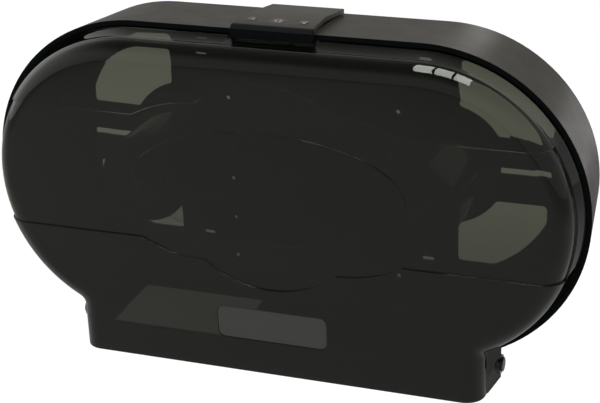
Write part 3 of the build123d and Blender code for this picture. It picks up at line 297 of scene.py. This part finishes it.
def smooth_piece(piece, tree, angle):
    modifier = piece.modifiers.new("join_and_smooth", "NODES")
    modifier.node_group = tree
    values = {"Join_distance": 0.000002, "Sharp_angle": radians(angle)}
    for item in tree.interface.items_tree:
        if item.in_out == "INPUT" and item.name in values:
            modifier[item.identifier] = values[item.name]


join_and_smooth = smoothing_tree()
for piece in nodes.values():
    smooth_piece(piece, join_and_smooth, 22.0)


# ---------------------------------------------------------------- screws


def screw_tree():
    """Domed screws with a cross recess, one on each point given, all facing the same way."""
    tree = bpy.data.node_groups.new("cross_screws", "GeometryNodeTree")
    tree.interface.new_socket("Places", in_out="INPUT", socket_type="NodeSocketGeometry")
    for name in ("Head_radius", "Head_height", "Recess_width", "Recess_depth", "Shank_radius", "Shank_length"):
        tree.interface.new_socket(name, in_out="INPUT", socket_type="NodeSocketFloat")
    tree.interface.new_socket("Facing", in_out="INPUT", socket_type="NodeSocketVector")
    tree.interface.new_socket("Seed", in_out="INPUT", socket_type="NodeSocketInt")
    tree.interface.new_socket("Finish", in_out="INPUT", socket_type="NodeSocketMaterial")
    tree.interface.new_socket("Screws", in_out="OUTPUT", socket_type="NodeSocketGeometry")
    given = put(tree, "NodeGroupInput").outputs

    def sum_up(first, second, operation="MULTIPLY"):
        return put(tree, "ShaderNodeMath", {0: first, 1: second}, operation=operation).outputs[0]

    def vector(x, y, z):
        return put(tree, "ShaderNodeCombineXYZ", {"X": x, "Y": y, "Z": z}).outputs[0]

    def moved(geometry, offset):
        return put(tree, "GeometryNodeTransform", {"Geometry": geometry, "Translation": offset}).outputs[0]

    dome = put(tree, "GeometryNodeMeshUVSphere", {"Segments": 48, "Rings": 24, "Radius": 1.0}).outputs["Mesh"]
    dome_size = vector(given["Head_radius"], given["Head_radius"], given["Head_height"])
    dome = put(tree, "GeometryNodeTransform", {"Geometry": dome, "Scale": dome_size}).outputs[0]
    wide = sum_up(given["Head_radius"], 3.0)
    half_space = put(tree, "GeometryNodeMeshCube", {"Size": vector(wide, wide, wide)}).outputs["Mesh"]
    half_space = moved(half_space, vector(0.0, 0.0, sum_up(wide, -0.5)))
    head = put(tree, "GeometryNodeMeshBoolean", {"Mesh 1": dome, "Mesh 2": half_space},
               operation="DIFFERENCE", solver="EXACT")
    recess_long = sum_up(given["Head_radius"], 1.1)
    recess_tall = sum_up(given["Recess_depth"], 2.0)
    recess_z = sum_up(given["Head_height"], 0.0, "ADD")
    for size in ((recess_long, given["Recess_width"]), (given["Recess_width"], recess_long)):
        bar = put(tree, "GeometryNodeMeshCube", {"Size": vector(size[0], size[1], recess_tall)}).outputs["Mesh"]
        bar = moved(bar, vector(0.0, 0.0, recess_z))
        cut = put(tree, "GeometryNodeMeshBoolean", {"Mesh 1": head.outputs["Mesh"], "Mesh 2": bar},
                  operation="DIFFERENCE", solver="EXACT")
        head = cut
    shank = put(
        tree, "GeometryNodeMeshCylinder",
        {"Vertices": 32, "Radius": given["Shank_radius"], "Depth": given["Shank_length"]},
    ).outputs["Mesh"]
    shank = moved(shank, vector(0.0, 0.0, sum_up(given["Shank_length"], -0.5)))
    screw = put(tree, "GeometryNodeJoinGeometry")
    for mesh in (head.outputs["Mesh"], shank):
        tree.links.new(mesh, screw.inputs[0])
    points = put(tree, "GeometryNodeMeshToPoints", {"Mesh": given["Places"]}).outputs[0]
    turn = put(tree, "FunctionNodeRandomValue", {"Min": 0.0, "Max": 1.57, "Seed": given["Seed"]}, data_type="FLOAT")
    spun = put(tree, "ShaderNodeCombineXYZ", {"Z": turn.outputs["Value"]}).outputs[0]
    spun = put(tree, "FunctionNodeEulerToRotation", {0: spun}).outputs[0]
    facing = put(tree, "FunctionNodeAlignRotationToVector", {"Vector": given["Facing"]}, axis="Z").outputs[0]
    rotation = put(tree, "FunctionNodeRotateRotation", {"Rotation": facing, "Rotate By": spun},
                   rotation_space="LOCAL").outputs[0]
    many = put(tree, "GeometryNodeInstanceOnPoints",
               {"Points": points, "Instance": screw.outputs[0], "Rotation": rotation}).outputs[0]
    real = put(tree, "GeometryNodeRealizeInstances", {"Geometry": many}).outputs[0]
    smooth = put(tree, "GeometryNodeGroup", {"Piece": real, "Join_distance": 0.000002, "Sharp_angle": radians(30.0)},
                 node_tree=join_and_smooth).outputs[0]
    painted = put(tree, "GeometryNodeSetMaterial", {"Geometry": smooth, "Material": given["Finish"]}).outputs[0]
    put(tree, "NodeGroupOutput", {0: painted})
    return tree


def corners(node):
    """Lowest and highest corner of a piece of the frame."""
    points = [vertex.co for vertex in nodes[node].data.vertices]
    return [Vector(pick(point[axis] for point in points) for axis in range(3)) for pick in (min, max)]


def add_screws(node, facing, places, sizes, seed):
    """Stands screws with a domed, cross-recessed head in for the plain ones of the frame."""
    mesh = bpy.data.meshes.new(node + "_places")
    mesh.from_pydata([tuple(place) for place in places], [], [])
    piece = bpy.data.objects.new(node + "_detail", mesh)
    bpy.context.scene.collection.objects.link(piece)
    modifier = piece.modifiers.new("screws", "NODES")
    modifier.node_group = cross_screws
    values = dict(zip(("Head_radius", "Head_height", "Recess_width", "Recess_depth", "Shank_radius", "Shank_length"),
                      sizes))
    values.update(Facing=facing, Seed=seed, Finish=finishes["screw_steel"])
    for item in cross_screws.interface.items_tree:
        if item.in_out == "INPUT" and item.name in values:
            modifier[item.identifier] = values[item.name]
    made = piece.evaluated_get(bpy.context.evaluated_depsgraph_get())
    piece.data = bpy.data.meshes.new_from_object(made)
    piece.modifiers.clear()
    return piece


cross_screws = screw_tree()

# domed screws in the middle of the two spindle caps
low, high = corners("cap_screws")
head = 0.0040
rise = 0.0022
middle = (low.z + high.z) / 2
spots = [(x, low.y + rise, middle) for x in (low.x + head, high.x - head)]
cap_sizes = (head, rise, 0.0011, 0.0014, 0.0020, high.y - low.y - rise)
cap_detail = add_screws("cap_screws", (0.0, -1.0, 0.0), spots, cap_sizes, 3)

# domed screws that hold the tear bars
low, high = corners("tear_bar_screws")
head = 0.0024
rise = 0.0014
middle = (low.z + high.z) / 2
spots = [(x, low.y + rise, middle) for x in (low.x + head, -0.056, 0.056, high.x - head)]
bar_sizes = (head, rise, 0.0007, 0.0009, 0.0013, high.y - low.y - rise)
bar_detail = add_screws("tear_bar_screws", (0.0, -1.0, 0.0), spots, bar_sizes, 5)

# the screw under the cam
low, high = corners("cam_screw")
head = 0.0035
rise = 0.0020
spot = ((low.x + high.x) / 2, (low.y + high.y) / 2, low.z + rise)
cam_sizes = (head, rise, 0.0010, 0.0012, 0.0016, high.z - low.z - rise)
cam_detail = add_screws("cam_screw", (0.0, 0.0, -1.0), [spot], cam_sizes, 7)

for piece, body, node in (
    (cap_detail, "casing", "cap_screws"),
    (bar_detail, "casing", "tear_bar_screws"),
    (cam_detail, "lock", "cam_screw"),
):
    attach(piece, body)
    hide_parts(node)


# ---------------------------------------------------------------- floor, light and camera


def pale_floor():
    """Plain floor: diffuse for the light that falls on the object, and near white where it is seen."""
    mesh = bpy.data.meshes.new("floor")
    half = 6.0
    level = -0.62
    mesh.from_pydata([(-half, -half, level), (half, -half, level), (half, half, level), (-half, half, level)], [],
                     [(0, 1, 2, 3)])
    floor = bpy.data.objects.new("floor", mesh)
    bpy.context.scene.collection.objects.link(floor)
    material = bpy.data.materials.new("floor_white")
    material.use_nodes = True
    tree = material.node_tree
    tree.nodes.clear()
    diffuse = put(tree, "ShaderNodeBsdfDiffuse", {"Color": grey(0.80)})
    glow = put(tree, "ShaderNodeEmission", {"Color": grey(1.0), "Strength": 0.93})
    shaded = put(tree, "ShaderNodeBsdfDiffuse", {"Color": grey(0.22)})
    seen = put(tree, "ShaderNodeAddShader", {0: glow.outputs[0], 1: shaded.outputs[0]})
    rays = put(tree, "ShaderNodeLightPath").outputs
    straight = put(
        tree, "ShaderNodeMath", {0: rays["Is Camera Ray"], 1: rays["Is Transmission Ray"]}, operation="MAXIMUM"
    )
    mixed = put(tree, "ShaderNodeMixShader", {0: straight.outputs[0], 1: diffuse.outputs[0], 2: seen.outputs[0]})
    put(tree, "ShaderNodeOutputMaterial", {"Surface": mixed.outputs[0]})
    mesh.materials.append(material)


def white_room(strength, front, back):
    """Even dim light from all round, and plain white where the world itself is seen.

    In reflections it has one level in front of the object and one behind it, is paler to the left, and
    has a dark ceiling.
    """
    world = bpy.data.worlds.new("room")
    world.use_nodes = True
    tree = world.node_tree
    tree.nodes.clear()
    rays = put(tree, "ShaderNodeLightPath").outputs
    direction = put(tree, "ShaderNodeTexCoord").outputs["Generated"]
    parts = put(tree, "ShaderNodeSeparateXYZ", {"Vector": direction}).outputs
    mirrored = spread(tree, parts["Y"], -0.2, 0.6, front, back)
    left = spread(tree, parts["X"], -0.95, -0.45, 0.55, 0.0)
    mirrored = put(tree, "ShaderNodeMath", {0: mirrored, 1: left}, operation="ADD").outputs[0]
    ceiling = spread(tree, parts["Z"], 0.50, 0.85, 1.0, 0.30)
    mirrored = put(tree, "ShaderNodeMath", {0: mirrored, 1: ceiling}, operation="MULTIPLY").outputs[0]
    level = put(tree, "ShaderNodeMix", {0: rays["Is Glossy Ray"], 2: strength, 3: mirrored}).outputs[0]
    dim = put(tree, "ShaderNodeBackground", {"Color": grey(1.0), "Strength": level})
    white = put(tree, "ShaderNodeBackground", {"Color": grey(1.0), "Strength": 1.0})
    straight = put(
        tree, "ShaderNodeMath", {0: rays["Is Camera Ray"], 1: rays["Is Transmission Ray"]}, operation="MAXIMUM"
    )
    mixed = put(tree, "ShaderNodeMixShader", {0: straight.outputs[0], 1: dim.outputs[0], 2: white.outputs[0]})
    put(tree, "ShaderNodeOutputWorld", {"Surface": mixed.outputs[0]})
    bpy.context.scene.world = world


def softbox(name, spot, aim, width, height, power, mirrored=False):
    """A rectangular lamp: one that lights the object and isn't mirrored, or one that is only mirrored."""
    light = bpy.data.lights.new(name, "AREA")
    light.shape = "RECTANGLE"
    light.size = width
    light.size_y = height
    light.energy = power
    lamp = bpy.data.objects.new(name, light)
    lamp.location = spot
    lamp.rotation_euler = (Vector(aim) - Vector(spot)).to_track_quat("-Z", "Y").to_euler()
    lamp.visible_camera = False
    lamp.visible_transmission = False
    lamp.visible_glossy = mirrored
    lamp.visible_diffuse = not mirrored
    bpy.context.scene.collection.objects.link(lamp)


def photo_camera():
    """The camera that took the photograph, worked out from the shape of the casing in it."""
    azimuth, elevation, roll = radians(20.58), radians(23.99), radians(-2.22)
    back = Vector((sin(azimuth) * cos(elevation), -cos(azimuth) * cos(elevation), sin(elevation)))
    level_right = (-back).cross(Vector((0, 0, 1))).normalized()
    level_up = level_right.cross(-back)
    right = cos(roll) * level_right + sin(roll) * level_up
    up = cos(roll) * level_up - sin(roll) * level_right
    lens = bpy.data.cameras.new("camera")
    lens.sensor_width = 36.0
    lens.lens = 97.41
    camera = bpy.data.objects.new("camera", lens)
    turn = Matrix((right, up, back)).transposed().to_4x4()
    camera.matrix_world = Matrix.Translation((0.43973, -1.21123, 0.53019)) @ turn
    bpy.context.scene.collection.objects.link(camera)
    bpy.context.scene.camera = camera


pale_floor()
white_room(0.35, 0.47, 0.5)
softbox("overhead", (-0.3, -0.3, 1.9), (0.0, -0.05, 0.0), 1.8, 1.4, 11.0)
softbox("front_left", (-1.9, -1.7, 1.1), (0.0, -0.05, 0.0), 1.2, 1.2, 10.0)
softbox("right_side", (2.1, -0.3, 0.7), (0.0, -0.05, 0.0), 0.7, 1.4, 6.0)
for pane in range(3):
    middle = -0.11 + 0.29 * pane
    softbox(f"skylight_{pane}", (middle, 0.0, 1.6), (middle, 0.0, 0.0), 0.25, 1.2, 7.5, True)
softbox("right_card", (0.75, 1.9, -0.25), (0.25, 0.0, 0.03), 0.13, 0.55, 1.3, True)
softbox("top_card", (-0.05, 1.8, 0.46), (0.15, 0.0, 0.12), 0.06, 0.30, 0.7, True)
photo_camera()
bpy.context.scene.view_settings.view_transform = "Standard"
